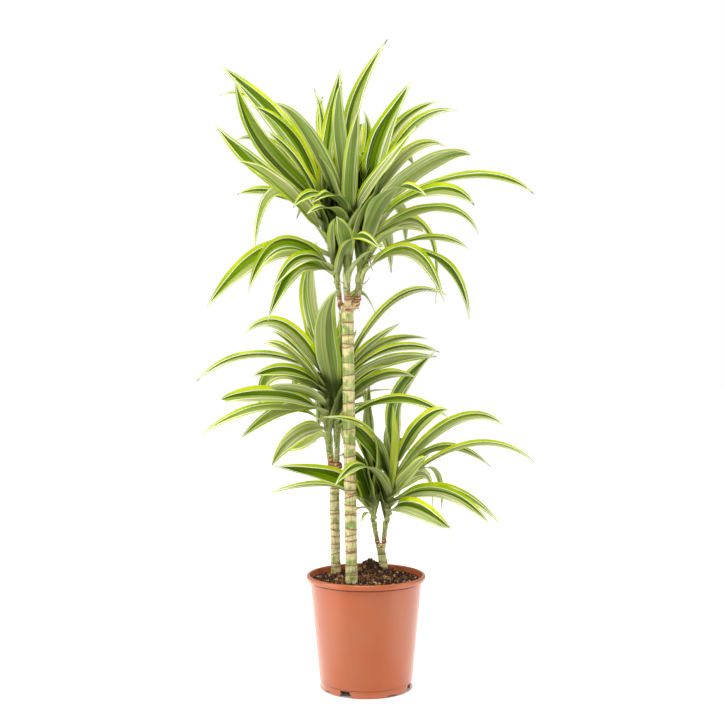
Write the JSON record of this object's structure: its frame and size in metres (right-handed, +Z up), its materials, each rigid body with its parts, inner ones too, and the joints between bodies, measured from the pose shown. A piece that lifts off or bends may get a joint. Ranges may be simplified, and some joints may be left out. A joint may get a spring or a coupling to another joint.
{
  "type": "potted dracaena",
  "caption": "Free-standing dracaena with bare ringed canes of staggered heights, each topped by arching striped strap leaves, in a plain tapered nursery pot filled with soil.",
  "frame": {"origin": "middle of the flat pad under the pot, on the surface it stands on", "axes": "+Z up along the pot's axis, -Y towards the front, +X to the right as seen from the front"},
  "size_m": [0.6123, 0.4175, 1.1413],
  "materials": {
    "pot": "terracotta-coloured moulded plastic with a soft sheen",
    "soil": "moist peat with fibres and bark chips",
    "cane": "smooth pale bark, cream and light green, ringed by leaf scars",
    "leaf": "satin green leaf with grey-green stripes and lime margins"
  },
  "bodies": {
    "root": {"pot": "pot", "soil": "soil", "tall_cane": "cane", "tall_crown": "leaf", "middle_cane": "cane", "middle_crown": "leaf", "short_cane": "cane", "short_crown": "leaf"}
  },
  "joints": []
}
